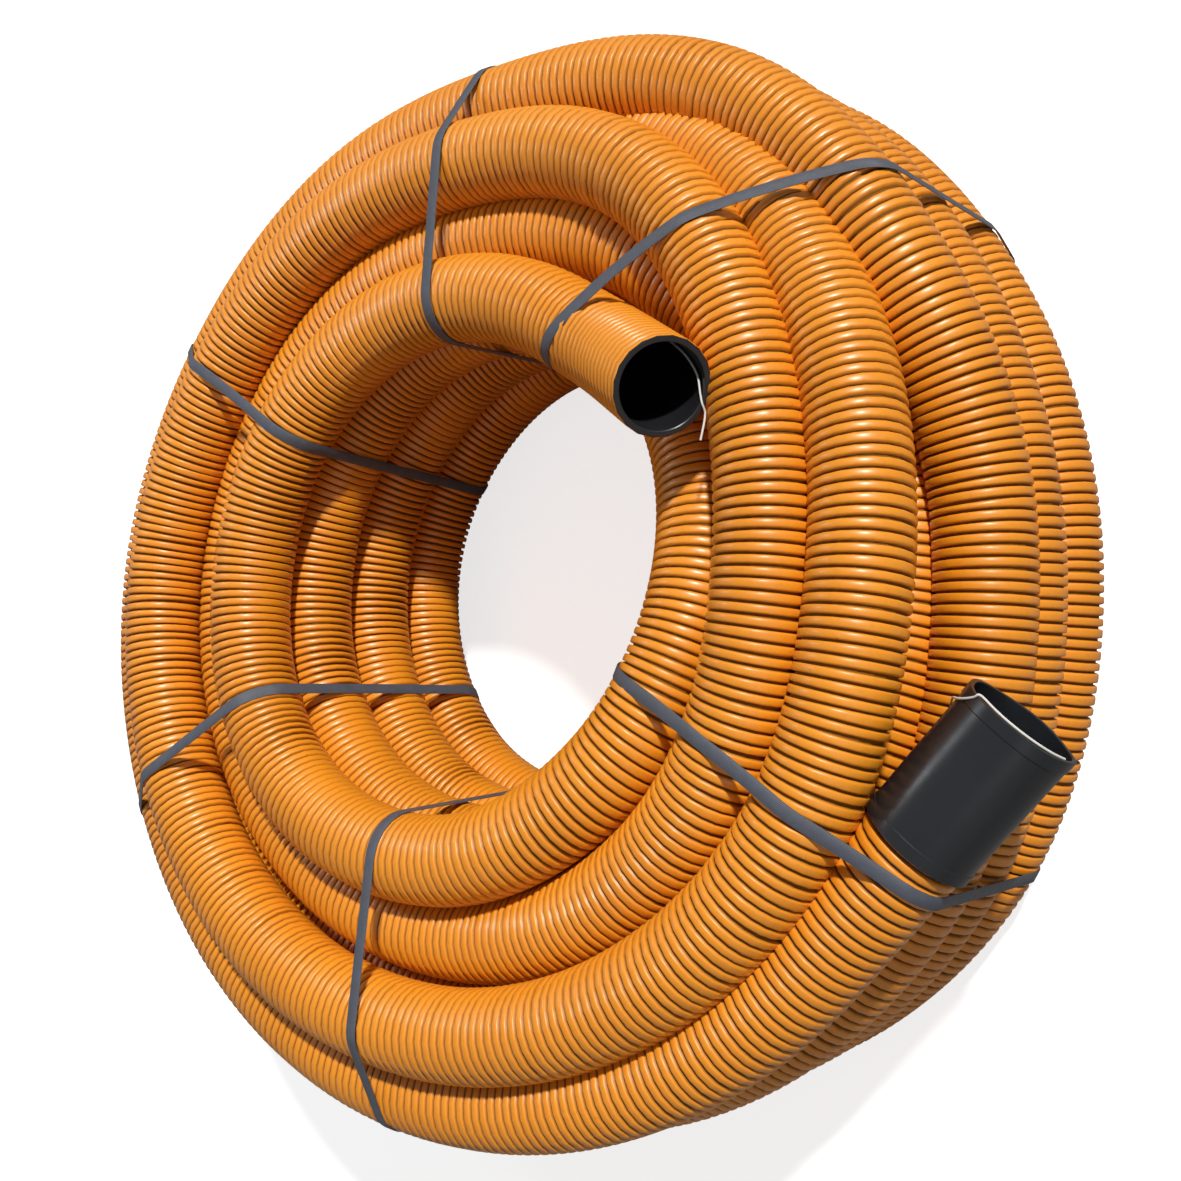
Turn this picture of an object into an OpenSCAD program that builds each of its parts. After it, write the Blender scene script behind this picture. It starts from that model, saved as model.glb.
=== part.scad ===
// A coil of twin-wall corrugated cable duct, held by straps, with a sleeve coupler on its outer end.
// The coil lies on its back face: its axis is along Z, its front face with both ends looks up, and +Y is its top.
// Angles run counter-clockwise as seen from the front, from 0 at +X.

/* [Duct] */
// Outside diameter over the crests
duct_od = 110; // [90:1:125]
// Thickness from the crests to the smooth liner's inside
duct_wall = 8; // [5:0.5:12]
// Distance from crest to crest
rib_pitch = 13.75; // [10:0.25:18]
// Width of one flat crest
crest_w = 9; // [6:0.5:9]
// Depth of the grooves between the crests
groove_depth = 4; // [2:0.25:4.5]

/* [Winding] */
// Radius of the innermost turn, to the middle of the duct
first_turn_r = 350; // [320:1:380]
// Turns side by side in each layer
lanes = 4; // [3:1:5]
// Layers wound over one another
layers = 4; // [4:2:6]
// How far neighbouring turns press into each other
squeeze = 1; // [0.6:0.1:3]

/* [Inner end] */
// Angle at which the inner end leaves its turn
inner_leave = 61; // [50:1:75]
// Angle by which it bends out of the coil's face
inner_bend = 28; // [20:1:40]
// Radius of that bend, to the middle of the duct
inner_bend_r = 330; // [250:1:380]
// Length of the straight end with the mouth
inner_straight = 100; // [80:1:150]

/* [Outer end] */
// Angle at which the outer end runs straight off its turn
outer_leave = 322.5; // [315:0.5:330]
// How far it has risen off its turn by then
outer_rise = 19; // [10:1:30]
// Angle over which it rises
rise_angle = 60; // [45:1:80]
// Length of the straight end up to the coupler's stop
outer_straight = 260; // [220:1:300]

/* [Coupler] */
// Length of the sleeve
coupler_len = 160; // [130:1:200]
// Wall of the sleeve
coupler_wall = 4; // [2.5:0.5:6]
// Free space between the duct's crests and the sleeve
coupler_clear = 0.5; // [0.2:0.05:0.8]
// Width of the stop ring at its middle
stop_w = 6; // [4:1:10]
// Width of the thicker rim at each mouth
rim_w = 14; // [8:1:20]
// How far the rim stands out of the sleeve
rim_step = 1; // [0.5:0.25:2]
// Gap between the duct's end and the stop ring
stop_gap = 0.3; // [0.2:0.1:1]

/* [Straps] */
// Width of a strap
strap_w = 15; // [10:1:25]
// Thickness of a strap
strap_t = 1; // [0.6:0.1:2]
// Space between a strap and the turns that it spans
strap_gap = 0.4; // [0.2:0.1:0.8]

/* [Draw cord] */
// Diameter of the cord
cord_d = 3; // [2:0.5:5]

/* [Hidden] */
$fn = 96;

// How far the bends lie under the crests, and how far the straight ends reach back over them
bend_step = 1.5;
end_lap = 5;
// Angle by which a turn reaches past the place where its end leaves it
turn_lap = 2;

duct_r = duct_od / 2;
bore_r = duct_r - duct_wall;
groove_r = duct_r - groove_depth;
lane_pitch = duct_od - squeeze;
layer_pitch = lane_pitch * sqrt(3) / 2;
strap_out = strap_gap + strap_t;
coil_back = lane_z(2, lanes) - duct_r - strap_out;

// Angles at which the six straps cross the coil
strap_at = [89, 46, 145, 212, 270, 335];

// Angles between which the last turn's own piece lies, and the first one's end
last_from = 135;
first_to = 270;
hull_sides = 48;

// The middle of each turn: layers count outwards, lanes from the front to the back
function turn_r(layer) = first_turn_r + (layer - 1) * layer_pitch;
function lane_z(layer, lane) = lane_pitch * ((lanes - 1) / 2 - (lane - 1) - (layer % 2 == 0 ? 0.5 : 0));
function spot(layer, lane) = [turn_r(layer), lane_z(layer, lane)];

// The two turns in front that change places with a neighbour: radius, from, to and middle angle
cross_first = [turn_r(1), lane_z(1, 1), lane_z(1, 2), first_to - 270];
cross_last = [turn_r(layers), lane_z(layers, 2), lane_z(layers, 1), last_from - 90];
function cross_tilt(c) = atan((c[2] - c[1]) / 2 / c[0]);

// Middle of a change-over at an angle round the coil
function cross_spot(c, angle) = let (tilt = cross_tilt(c), swing = angle - c[3]) [
    c[0] / cos(tilt) * norm([cos(swing), sin(swing) * cos(tilt)]),
    (c[1] + c[2]) / 2 + (c[2] - c[1]) / 2 * sin(swing)
];

// The outer end's rise has a larger radius than its turn, about a middle off the axis
rise_shift = outer_rise / (1 - cos(rise_angle));
rise_r = turn_r(layers) + rise_shift;
rise_from = outer_leave - rise_angle;
tail_r = turn_r(layers) + outer_rise;
outer_start = [tail_r * cos(outer_leave), tail_r * sin(outer_leave), lane_z(layers, 1)];
sleeve_start = outer_straight + stop_gap + stop_w / 2 - coupler_len / 2;
sleeve_end = sleeve_start + coupler_len;
sleeve_bore = duct_r + coupler_clear;
rim_r = sleeve_bore + coupler_wall + rim_step;

// The inner end's straight piece, in the frame of the point where it leaves its turn
inner_z = inner_bend_r * (1 - cos(inner_bend));
inner_y = -inner_bend_r * sin(inner_bend);

// Middle of the bent inner end and of the rising outer end at an angle round the coil
function inner_tilt(angle) = asin(turn_r(1) * tan(inner_leave - angle) / inner_bend_r);
function inner_spot(angle) =
    [turn_r(1) / cos(inner_leave - angle), lane_z(1, 1) + inner_bend_r * (1 - cos(inner_tilt(angle)))];
function rise_spot(angle) = let (swing = angle - rise_from)
    [sqrt(pow(rise_r, 2) - pow(rise_shift * sin(swing), 2)) - rise_shift * cos(swing), lane_z(layers, 1)];

// The sides of the box round everything, for the middle of its foot
box_right = outer_start[0] - sleeve_end * sin(outer_leave) + rim_r * cos(outer_leave);
box_left = -turn_r(layers) - duct_r;

// The draw cord's ends: places from the middle of each mouth, with z out of the mouth
inner_cord = [
    [42, -14, -90], [42, -15, -60], [37, -25, -35], [26, -36, -15], [12, -43, -4], [4, -47, 2.5],
    [0, -51, 4], [-4, -55, 5], [-12, -57, 9], [-22, -58, 14], [-31, -59, 18]
];
outer_cord = [
    [-63, 20, -48], [-64, 4, -36], [-62, -22, -24], [-53, -41, -17], [-42, -51, -10], [-33, -55, -3],
    [-30.5, -54.5, 1.5], [-25.5, -52.2, 2.2], [-15, -56, 2.1], [0, -58, 2], [15, -56, 2], [29, -50.2, 2],
    [41, -41, 2], [50.2, -29, 2], [56, -15, 2]
];

// Lays the coil on the floor, with the middle of its box over the origin
module lie() {
    translate([-(box_left + box_right) / 2, 0, -coil_back])
        children();
}

// Section of the turns that run all the way round: those on the outside, filled between their middles
module packed_section() {
    for (layer = [1:layers], lane = [1:lanes])
        if (is_packed(layer, lane) && (layer == 1 || layer == layers || lane <= 2 || lane == lanes))
            translate(spot(layer, lane))
                circle(r = duct_r);
    polygon([
        for (layer = [1:layers]) spot(layer, is_packed(layer, 1) ? 1 : 2),
        for (layer = [layers:-1:1]) spot(layer, lanes)
    ]);
}

// The first turn and the last one, both in front, don't run all the way round
function is_packed(layer, lane) = lane > 1 || (layer > 1 && layer < layers);

// A piece of one turn between two angles
module turn_piece(radius, height, from, to) {
    rotate([0, 0, from])
        rotate_extrude(angle = to - from)
            translate([radius, height])
                circle(r = duct_r);
}

// Half a turn that leaves one lane and arrives in the next, without a kink at either end
module change_over(c) {
    tilt = cross_tilt(c);
    rotate([0, 0, c[3]])
        translate([0, 0, (c[1] + c[2]) / 2])
            rotate([tilt, 0, 0])
                rotate([0, 0, -90])
                    rotate_extrude(angle = 180)
                        translate([c[0] / cos(tilt), 0])
                            circle(r = duct_r - bend_step);
}

// Straight ribbed duct with its liner, from z = 0 up to its open mouth
module straight_duct(length) {
    ribs = floor((length - crest_w) / rib_pitch);
    rotate_extrude()
        difference() {
            translate([bore_r, 0])
                square([duct_wall, length]);
            for (i = [0:ribs - 1])
                translate([groove_r, length - (i + 1) * rib_pitch])
                    square([duct_od, rib_pitch - crest_w]);
        }
}

// The inner end bends out of the coil's face and stops in an open mouth
module inner_end() {
    rotate([0, 0, inner_leave])
        translate([turn_r(1), 0, lane_z(1, 1)]) {
            translate([0, 0, inner_bend_r])
                rotate([0, 90, 0])
                    rotate([0, 0, -inner_bend])
                        rotate_extrude(angle = inner_bend)
                            translate([inner_bend_r, 0])
                                difference() {
                                    circle(r = duct_r - bend_step);
                                    circle(r = bore_r - bend_step);
                                }
            translate([0, inner_y, inner_z])
                rotate([90 - inner_bend, 0, 0])
                    translate([0, 0, -end_lap])
                        straight_duct(inner_straight + end_lap);
        }
}

// The outer end rises off its turn and runs straight into the sleeve
module outer_end() {
    translate([-rise_shift * cos(rise_from), -rise_shift * sin(rise_from), 0])
        rotate([0, 0, rise_from])
            rotate_extrude(angle = rise_angle)
                translate([rise_r, lane_z(layers, 1)])
                    circle(r = duct_r - bend_step);
    translate(outer_start)
        rotate([0, 0, outer_leave])
            rotate([-90, 0, 0])
                translate([0, 0, -end_lap])
                    straight_duct(outer_straight + end_lap);
}

// The whole winding in one piece, with both of its ends
module duct() {
    color("darkorange")
        lie() {
            rotate_extrude()
                packed_section();
            turn_piece(turn_r(1), lane_z(1, 1), inner_leave - turn_lap, first_to);
            turn_piece(turn_r(layers), lane_z(layers, 1), last_from, rise_from + turn_lap);
            change_over(cross_first);
            change_over(cross_last);
            inner_end();
            outer_end();
        }
}

module coupler() {
    color("dimgray")
        lie()
            translate(outer_start)
                rotate([0, 0, outer_leave])
                    rotate([-90, 0, 0])
                        translate([0, 0, sleeve_start])
                            rotate_extrude()
                                union() {
                                    translate([sleeve_bore, 0])
                                        square([coupler_wall, coupler_len]);
                                    translate([sleeve_bore, 0])
                                        square([coupler_wall + rim_step, rim_w]);
                                    translate([sleeve_bore, coupler_len - rim_w])
                                        square([coupler_wall + rim_step, rim_w]);
                                    translate([bore_r, (coupler_len - stop_w) / 2])
                                        square([duct_wall + coupler_wall, stop_w]);
                                }
}

// Outline that a strap is drawn round at an angle, grown by a distance
module strapped_outline(angle, grow) {
    side = asin(strap_w / 2 / first_turn_r);
    turn = angle > 180 ? angle - 360 : angle;
    hull() {
        for (layer = [1:layers], lane = [2, lanes])
            translate(spot(layer, lane))
                circle(r = duct_r + grow, $fn = hull_sides);
        for (layer = [2:layers - 1])
            translate(spot(layer, 1))
                circle(r = duct_r + grow, $fn = hull_sides);
        if (turn > inner_leave || turn < first_to - 360)
            translate(spot(1, 1))
                circle(r = duct_r + grow, $fn = hull_sides);
        if (turn > last_from || turn < rise_from - 360 + turn_lap)
            translate(spot(layers, 1))
                circle(r = duct_r + grow, $fn = hull_sides);
        for (edge = [turn - side, turn + side]) {
            if (turn >= first_to - 360 && turn < inner_leave)
                translate(cross_spot(cross_first, edge))
                    circle(r = duct_r + grow, $fn = hull_sides);
            if (turn > 0 && turn < inner_leave)
                translate(inner_spot(edge))
                    circle(r = duct_r / cos(inner_leave - edge) / cos(inner_tilt(edge)) + grow, $fn = hull_sides);
            if (turn > last_from - 180 && turn < last_from)
                translate(cross_spot(cross_last, edge))
                    circle(r = duct_r + grow, $fn = hull_sides);
            if (turn > rise_from - 360 && turn < outer_leave - 360)
                translate(rise_spot(edge))
                    circle(r = duct_r + grow, $fn = hull_sides);
            if (turn > outer_leave - 360 && turn < 0)
                translate([tail_r / cos(edge - outer_leave), lane_z(layers, 1)])
                    scale([(duct_r / cos(edge - outer_leave) + grow) / (duct_r + grow), 1])
                        circle(r = duct_r + grow, $fn = hull_sides);
        }
    }
}

module strap(number) {
    angle = strap_at[number - 1];
    color("slategray")
        lie()
            rotate([0, 0, angle])
                rotate([90, 0, 0])
                    linear_extrude(height = strap_w, center = true)
                        difference() {
                            strapped_outline(angle, strap_gap + strap_t);
                            strapped_outline(angle, strap_gap);
                        }
}

// A thin tube along hand-placed points
module cord(points) {
    sides = 8;
    rings = len(points);
    function along(i) = let (v = points[min(i + 1, rings - 1)] - points[max(i - 1, 0)]) v / norm(v);
    function across(i) = let (v = cross(along(i), [0.3, 0.4, 0.87])) v / norm(v);
    function ring(i) = [
        for (k = [0:sides - 1])
            let (a = k * 360 / sides)
            points[i] + cord_d / 2 * (cos(a) * across(i) + sin(a) * cross(along(i), across(i)))
    ];
    polyhedron(
        points = [for (i = [0:rings - 1]) each ring(i)],
        faces = [
            [for (k = [0:sides - 1]) k],
            for (i = [0:rings - 2], k = [0:sides - 1])
                let (a = i * sides + k, b = i * sides + (k + 1) % sides)
                [a, a + sides, b + sides, b],
            [for (k = [sides - 1:-1:0]) (rings - 1) * sides + k]
        ]
    );
}

module draw_cord_inner() {
    color("white")
        lie()
            rotate([0, 0, inner_leave])
                translate([turn_r(1), inner_y, lane_z(1, 1) + inner_z])
                    rotate([90 - inner_bend, 0, 0])
                        translate([0, 0, inner_straight])
                            cord(inner_cord);
}

module draw_cord_outer() {
    color("white")
        lie()
            translate(outer_start)
                rotate([0, 0, outer_leave])
                    rotate([-90, 0, 0])
                        translate([0, 0, sleeve_end])
                            cord(outer_cord);
}

duct();
coupler();
strap(1);  // strap_1
strap(2);  // strap_2
strap(3);  // strap_3
strap(4);  // strap_4
strap(5);  // strap_5
strap(6);  // strap_6
draw_cord_inner();
draw_cord_outer();
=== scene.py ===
"""Dresses a coil of corrugated cable duct: its ribbed turns, liner, coupler, straps, draw cords and stage."""

import math

import bmesh
import bpy
from mathutils import Matrix, Vector
from mathutils.geometry import convex_hull_2d


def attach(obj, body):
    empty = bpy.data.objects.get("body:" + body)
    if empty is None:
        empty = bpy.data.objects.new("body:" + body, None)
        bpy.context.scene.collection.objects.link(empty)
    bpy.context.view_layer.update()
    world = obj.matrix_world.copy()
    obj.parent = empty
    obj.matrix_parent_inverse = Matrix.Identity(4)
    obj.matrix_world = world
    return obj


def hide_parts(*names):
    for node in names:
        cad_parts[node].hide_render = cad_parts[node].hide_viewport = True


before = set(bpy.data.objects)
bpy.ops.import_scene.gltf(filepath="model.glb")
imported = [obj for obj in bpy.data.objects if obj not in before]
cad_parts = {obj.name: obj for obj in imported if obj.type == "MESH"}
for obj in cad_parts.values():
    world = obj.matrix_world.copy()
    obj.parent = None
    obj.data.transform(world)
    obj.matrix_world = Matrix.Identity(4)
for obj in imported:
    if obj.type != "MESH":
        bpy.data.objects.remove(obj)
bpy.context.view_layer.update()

bl_info = {
    "name": "Corrugated cable duct coil",
    "version": (1, 0, 0),
    "blender": (4, 5, 0),
    "location": "3D Viewport > Sidebar > Duct coil",
    "description": "Winds, straps and finishes a coil of corrugated cable duct",
    "category": "Object",
}

BODY = "root"

# Where the middle of the winding lies in the row frame, with the coil on its back face
COIL_MIDDLE = Vector((-0.043106, 0, 0.2744))

# The duct is wound from the inside out, each layer from one face of the coil to the other
LAYERS = 4
LANES = 4
TURNS = LAYERS * LANES

# Turns in front that leave their lane as listed: angle in degrees, radius and place forward in duct diameters
HAND_LAID = {
    0: [(61, 3.18, 1.486), (290, 3.18, 1.486), (430, 3.18, 0.495)],
    7: [(270, 4.04, 0.991), (360, 4.2, 1.45), (450, 4.898, 1.486)],
    8: [(290, 4.925, 1.486), (350, 5.12, 1.4), (405, 5.155, 1.0), (460, 4.925, 0.495)],
    14: [(330, 5.756, 0.0), (365, 5.73, 0.1), (400, 5.77, 0.8), (450, 5.756, 0.991)],
}
CHANGE_FROM, CHANGE_MIDDLE, CHANGE_TO = 285, 360, 435

# The middle line has a place every so many degrees
TURN_STEP = 2
# Close to both ends the duct lies true, and it strays fully only this many degrees on
LOOSE_FROM, LOOSE_TO, LOOSE_OVER = 61, 360 * TURNS - 97.5, 60

# Where the duct is cut into pieces, in degrees from the start of the winding, so that each stays light
PIECES = (
    "turns_layer_1", "turns_layer_2_back", "turns_hidden_a", "turns_layer_2_front", "turns_layer_3_front",
    "turns_hidden_b", "turns_layer_3_back", "turns_layer_4_back", "turns_layer_4_front",
)
PIECE_CUTS = (1530, 1890, 2445, 2970, 3750, 3885, 4410, 5130)

# Rings of one rib: two at each rounded edge of its crest and two in its groove
RINGS_PER_RIB = 6
LINER_SIDES = 64
LINER_DEPTH = 0.5
SLEEVE_SIDES = 96
SLEEVE_SEAM = math.radians(205)
STRAP_DOTS = 40
STRAP_PART = 0.02
FLOOR_REACH = 60

# How the hand-wound coil strays from a true one, at every 30 degrees from 0, in duct diameters:
# how far each layer rides up over the one below it, and how far out of round the innermost one is
RIDE_UP = (0.022, 0.03, 0.06, -0.062, -0.04, -0.01, 0.036, 0.02, 0.006, 0.018, 0.066, 0.068)
OUT_OF_ROUND = (0.006, 0.002, 0.018, 0.034, 0.034, 0.012, 0.002, 0.02, 0.03, 0.004, 0.02, 0.038)
# How far the turns at the back lie to the right and to the top, for each metre of depth
LEAN = Vector((0.052, 0.112, 0))

# Straps: angle at the bore and at the rim, in degrees
STRAPS = ((91, 91), (55, 40), (145, 149), (212, 212), (268.5, 268.5), (340.5, 335.5))

# The draw cord's ends, in millimetres from the middle of each mouth, with z out of the mouth
INNER_CORD = (
    (42, -14, -90), (42, -15, -60), (37, -25, -35), (26, -36, -15), (12, -43, -4), (4, -47, 2.5),
    (0, -51, 4), (-4, -55, 5), (-12, -57, 9), (-22, -58, 14), (-31, -59, 18),
)
OUTER_CORD = (
    (-61, 11, -48), (-62, 0, -36), (-58, -22, -24), (-47.5, -40, -17), (-39, -48.5, -10), (-32.5, -53, -3),
    (-30.5, -54.5, 1.5), (-25.5, -53, 2.2), (-15, -56, 2.1), (0, -58, 2), (15, -56, 2), (29, -50.2, 2),
    (41, -41, 2), (50.2, -29, 2), (56, -15, 2),
)


class DuctSettings(bpy.types.PropertyGroup):
    outside: bpy.props.FloatProperty(
        name="Outside diameter", description="Across the crests", default=0.110, unit="LENGTH"
    )
    pitch: bpy.props.FloatProperty(
        name="Rib pitch", description="From crest to crest", default=0.0119, unit="LENGTH"
    )
    crest: bpy.props.FloatProperty(
        name="Crest width", description="Width of one flat crest", default=0.0079, unit="LENGTH"
    )
    rounding: bpy.props.FloatProperty(
        name="Rounding", description="Rounding of the crest's edges", default=0.0015, unit="LENGTH"
    )
    depth: bpy.props.FloatProperty(
        name="Groove depth", description="Depth between the crests", default=0.0048, unit="LENGTH"
    )
    wall: bpy.props.FloatProperty(
        name="Wall", description="From the crests to the liner's bore", default=0.008, unit="LENGTH"
    )
    sides: bpy.props.IntProperty(
        name="Sides", description="Sides of one ring of the duct", default=20, min=8, max=48
    )
    colour: bpy.props.FloatVectorProperty(
        name="Colour", description="Orange of the outer wall",
        subtype="COLOR", size=4, default=(0.86, 0.305, 0.012, 1), min=0, max=1,
    )
    # Painted shade, partly dirt: this darker orange stands in for the shade deep in the grooves
    groove_shade_and_dirt_colour: bpy.props.FloatVectorProperty(
        name="Groove colour", description="Orange deep in the grooves",
        subtype="COLOR", size=4, default=(0.16, 0.062, 0.0012, 1), min=0, max=1,
    )
    liner_colour: bpy.props.FloatVectorProperty(
        name="Liner colour", description="Black of the smooth liner",
        subtype="COLOR", size=4, default=(0.012, 0.012, 0.014, 1), min=0, max=1,
    )


class WindingSettings(bpy.types.PropertyGroup):
    first_radius: bpy.props.FloatProperty(
        name="First radius", description="Radius of the innermost turn", default=0.350, unit="LENGTH"
    )
    squeeze: bpy.props.FloatProperty(
        name="Squeeze", description="How far neighbouring turns press into each other",
        default=0.001, unit="LENGTH",
    )
    wobble: bpy.props.FloatProperty(
        name="Wobble", description="How far a turn strays from its circle", default=0.0012, unit="LENGTH"
    )
    inner_leave: bpy.props.FloatProperty(
        name="Inner leave", description="Angle where the inner end leaves its turn",
        default=math.radians(61), subtype="ANGLE",
    )
    inner_bend: bpy.props.FloatProperty(
        name="Inner bend", description="Angle by which the inner end bends forward",
        default=math.radians(28), subtype="ANGLE",
    )
    inner_bend_radius: bpy.props.FloatProperty(
        name="Inner bend radius", description="Radius of that bend", default=0.330, unit="LENGTH"
    )
    inner_straight: bpy.props.FloatProperty(
        name="Inner straight", description="Straight length at the mouth", default=0.100, unit="LENGTH"
    )
    outer_leave: bpy.props.FloatProperty(
        name="Outer leave", description="Angle where the outer end runs straight on",
        default=math.radians(322.5), subtype="ANGLE",
    )
    outer_rise: bpy.props.FloatProperty(
        name="Outer rise", description="How far it has risen off its turn by then",
        default=0.019, unit="LENGTH",
    )
    rise_angle: bpy.props.FloatProperty(
        name="Rise angle", description="Angle over which it rises", default=math.radians(60), subtype="ANGLE"
    )
    outer_straight: bpy.props.FloatProperty(
        name="Outer straight", description="Straight length up to the coupler's stop",
        default=0.260, unit="LENGTH",
    )


class CouplerSettings(bpy.types.PropertyGroup):
    length: bpy.props.FloatProperty(
        name="Length", description="Length of the sleeve", default=0.160, unit="LENGTH"
    )
    wall: bpy.props.FloatProperty(name="Wall", description="Wall of the sleeve", default=0.004, unit="LENGTH")
    clearance: bpy.props.FloatProperty(
        name="Clearance", description="Between the crests and the sleeve", default=0.0005, unit="LENGTH"
    )
    stop: bpy.props.FloatProperty(
        name="Stop", description="Width of the stop ring at its middle", default=0.006, unit="LENGTH"
    )
    stop_gap: bpy.props.FloatProperty(
        name="Stop gap", description="Between the duct's end and the stop ring", default=0.0003, unit="LENGTH"
    )
    rim: bpy.props.FloatProperty(
        name="Rim", description="Width of the thicker rim at each mouth", default=0.014, unit="LENGTH"
    )
    rim_step: bpy.props.FloatProperty(
        name="Rim step", description="How far the rim stands out", default=0.001, unit="LENGTH"
    )
    colour: bpy.props.FloatVectorProperty(
        name="Colour", description="Black of the sleeve",
        subtype="COLOR", size=4, default=(0.008, 0.0095, 0.0125, 1), min=0, max=1,
    )


class StrapSettings(bpy.types.PropertyGroup):
    width: bpy.props.FloatProperty(name="Width", description="Width of a strap", default=0.015, unit="LENGTH")
    thickness: bpy.props.FloatProperty(
        name="Thickness", description="Thickness of a strap", default=0.001, unit="LENGTH"
    )
    gap: bpy.props.FloatProperty(
        name="Gap", description="Between a strap and the crests", default=0.0004, unit="LENGTH"
    )
    emboss: bpy.props.FloatProperty(
        name="Emboss", description="Pitch of the embossed cross ribs", default=0.0022, unit="LENGTH"
    )
    colour: bpy.props.FloatVectorProperty(
        name="Colour", description="Grey of the band",
        subtype="COLOR", size=4, default=(0.068, 0.076, 0.098, 1), min=0, max=1,
    )


class CordSettings(bpy.types.PropertyGroup):
    diameter: bpy.props.FloatProperty(
        name="Diameter", description="Diameter of the draw cord", default=0.0024, unit="LENGTH"
    )
    colour: bpy.props.FloatVectorProperty(
        name="Colour", description="White of the cord",
        subtype="COLOR", size=4, default=(0.82, 0.82, 0.79, 1), min=0, max=1,
    )


class StageSettings(bpy.types.PropertyGroup):
    floor: bpy.props.FloatVectorProperty(
        name="Floor", description="Colour of floor and backdrop",
        subtype="COLOR", size=4, default=(0.7, 0.7, 0.7, 1), min=0, max=1,
    )
    key: bpy.props.FloatProperty(
        name="Key light", description="Strength of the high front light", default=3.5, min=0
    )
    sky: bpy.props.FloatProperty(
        name="Sky", description="Strength of the light from all round", default=0.15, min=0
    )


class CoilSettings(bpy.types.PropertyGroup):
    duct: bpy.props.PointerProperty(type=DuctSettings)
    winding: bpy.props.PointerProperty(type=WindingSettings)
    coupler: bpy.props.PointerProperty(type=CouplerSettings)
    strap: bpy.props.PointerProperty(type=StrapSettings)
    cord: bpy.props.PointerProperty(type=CordSettings)
    stage: bpy.props.PointerProperty(type=StageSettings)


# ---- places


def lying(place):
    """A place in the winding (z along its axis, to the face with both ends) as it lies in the row frame."""
    return COIL_MIDDLE + Vector(place)


def outward(angle):
    return Vector((math.cos(angle), math.sin(angle), 0))


def onward(angle):
    return Vector((-math.sin(angle), math.cos(angle), 0))


FORWARD = Vector((0, 0, 1))


def between(keys, at):
    """A smooth curve through (position, value, value...) keys that never overshoots them."""
    last = len(keys) - 1
    i = next((k for k in range(last) if at <= keys[k + 1][0]), last - 1)
    width = keys[i + 1][0] - keys[i][0]
    t = min(max((at - keys[i][0]) / width, 0), 1)
    values = []
    for n in range(1, len(keys[0])):

        def slope(k):
            if k <= 0 or k >= last:
                return 0
            before = (keys[k][n] - keys[k - 1][n]) / (keys[k][0] - keys[k - 1][0])
            after = (keys[k + 1][n] - keys[k][n]) / (keys[k + 1][0] - keys[k][0])
            return 2 * before * after / (before + after) if before * after > 0 else 0

        a, b = keys[i][n], keys[i + 1][n]
        values.append(
            a * (1 + 2 * t) * (1 - t) ** 2
            + b * t * t * (3 - 2 * t)
            + width * (slope(i) * t * (1 - t) ** 2 - slope(i + 1) * t * t * (1 - t))
        )
    return values


def spline(a, b, c, d, t):
    """The smooth step from b to c, between a before them and d after them."""
    bend = 2 * a - 5 * b + 4 * c - d
    return 0.5 * (2 * b + (c - a) * t + bend * t * t + (3 * b - a - 3 * c + d) * t**3)


def around(values, degrees):
    """A smooth curve through values that are spaced evenly round the coil."""
    count = len(values)
    far = degrees % 360 / 360 * count
    i = int(far)
    return spline(*(values[(i + k) % count] for k in (-1, 0, 1, 2)), far - i)


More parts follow.
